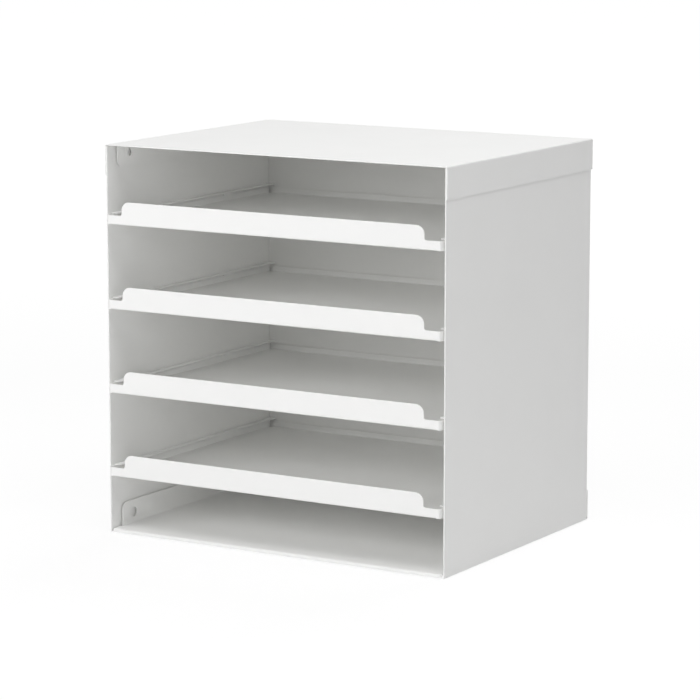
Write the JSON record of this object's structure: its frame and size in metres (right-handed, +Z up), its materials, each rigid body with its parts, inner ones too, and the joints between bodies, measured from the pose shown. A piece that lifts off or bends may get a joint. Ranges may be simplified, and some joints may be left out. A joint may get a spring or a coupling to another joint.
{
  "type": "desk organizer",
  "caption": "White sheet-steel desk organizer: an open-front letter cabinet with shallow pull-out trays in channel runners, notched finger lips and a skirted top cover.",
  "frame": {"origin": "middle of the base at desk level, under the centre of the overall box", "axes": "+X to the organizer's right seen from its front, +Y to its back, +Z up; the trays pull out along -Y"},
  "size_m": [0.3192, 0.2502, 0.3228],
  "materials": {
    "cabinet_coat": "matt white powder coat on sheet steel",
    "tray_coat": "matt white powder coat on sheet steel",
    "runner_coat": "matt white powder coat on sheet steel",
    "rivet_coat": "white painted rivet heads",
    "foot_pad": "matt pale rubber"
  },
  "bodies": {
    "cabinet": {"left_side_panel": "cabinet_coat", "right_side_panel": "cabinet_coat", "back_panel": "cabinet_coat", "bottom_panel": "cabinet_coat", "top_cover": "cabinet_coat", "top_left_bracket": "cabinet_coat", "top_right_bracket": "cabinet_coat", "flange_spacers": "cabinet_coat", "left_runner_1": "runner_coat", "left_runner_2": "runner_coat", "left_runner_3": "runner_coat", "left_runner_4": "runner_coat", "right_runner_1": "runner_coat", "right_runner_2": "runner_coat", "right_runner_3": "runner_coat", "right_runner_4": "runner_coat", "back_rivets": "rivet_coat", "front_left_foot": "foot_pad", "front_right_foot": "foot_pad", "rear_left_foot": "foot_pad", "rear_right_foot": "foot_pad"},
    "tray_1": {"tray_1": "tray_coat"},
    "tray_2": {"tray_2": "tray_coat"},
    "tray_3": {"tray_3": "tray_coat"},
    "tray_4": {"tray_4": "tray_coat"}
  },
  "joints": [
    {"name": "tray_1_slide", "type": "slide", "parent": "cabinet", "child": "tray_1", "axis": [0, -1, 0], "range_m": [0, 0.15]},
    {"name": "tray_2_slide", "type": "slide", "parent": "cabinet", "child": "tray_2", "axis": [0, -1, 0], "range_m": [0, 0.15]},
    {"name": "tray_3_slide", "type": "slide", "parent": "cabinet", "child": "tray_3", "axis": [0, -1, 0], "range_m": [0, 0.15]},
    {"name": "tray_4_slide", "type": "slide", "parent": "cabinet", "child": "tray_4", "axis": [0, -1, 0], "range_m": [0, 0.15]}
  ]
}
